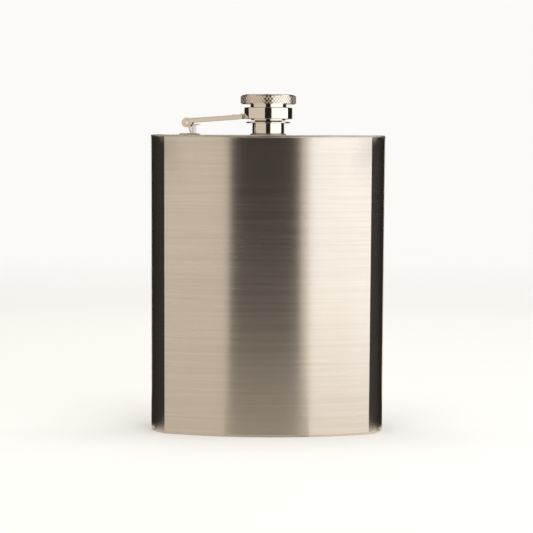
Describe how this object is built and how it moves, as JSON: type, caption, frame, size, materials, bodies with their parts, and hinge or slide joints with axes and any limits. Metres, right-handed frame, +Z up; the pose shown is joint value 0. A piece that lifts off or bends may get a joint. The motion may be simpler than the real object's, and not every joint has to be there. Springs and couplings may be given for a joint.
{
  "type": "hip flask",
  "caption": "Curved steel hip flask with a kidney-shaped section, a threaded neck and a captive screw cap on a hinged link arm.",
  "frame": {"origin": "on the ground under the middle of the body's bounding box", "axes": "+Z up along the neck's axis, +X to the viewer's right, -Y out of the bulging front"},
  "size_m": [0.095, 0.0296, 0.1365],
  "materials": {
    "brushed_body": "brushed across",
    "polished_steel": "polished",
    "knurled_steel": "knurled and polished",
    "plate_steel": "satin",
    "weld_metal": "ground weld",
    "liner_silicone": "matte"
  },
  "bodies": {
    "flask": {"body_shell": "brushed_body", "side_seam_weld": "weld_metal", "base_plate": "plate_steel", "base_seam_weld": "weld_metal", "top_plate": "plate_steel", "top_seam_weld": "weld_metal", "neck": "polished_steel", "neck_weld": "weld_metal", "hinge_bracket": "polished_steel", "bracket_weld": "weld_metal"},
    "hinge_pin": {"shoulder_pin": "polished_steel"},
    "link_arm": {"arm": "polished_steel", "collar_pin": "polished_steel"},
    "cap_collar": {"collar": "polished_steel", "collar_knuckle": "polished_steel"},
    "screw_cap": {"cap_head": "knurled_steel", "cap_crown": "polished_steel", "cap_insert": "polished_steel", "retaining_ring": "polished_steel", "seal_liner": "liner_silicone"}
  },
  "joints": [
    {"name": "arm_swing", "type": "hinge", "parent": "flask", "child": "hinge_pin", "pos_m": [-0.03241, 0.00102, 0.1253], "axis": [-0.133, -0.9911, 0], "range_deg": [0, 110]},
    {"name": "arm_follow", "type": "hinge", "parent": "hinge_pin", "child": "link_arm", "pos_m": [-0.03241, 0.00102, 0.1253], "axis": [-0.133, -0.9911, 0], "range_deg": [0, 14.91]},
    {"name": "cap_rise", "type": "slide", "parent": "hinge_pin", "child": "cap_collar", "axis": [0, 0, 1], "range_m": [0, 0.0054]},
    {"name": "cap_turn", "type": "hinge", "parent": "cap_collar", "child": "screw_cap", "pos_m": [0, -0.00333, 0.1285], "axis": [0, 0, 1], "range_deg": [0, 1296]}
  ],
  "couplings": [
    {"joint": "arm_follow", "follows": "cap_turn", "ratio": 0.011503},
    {"joint": "cap_rise", "follows": "cap_turn", "m_per_rad": 0.00023873}
  ]
}
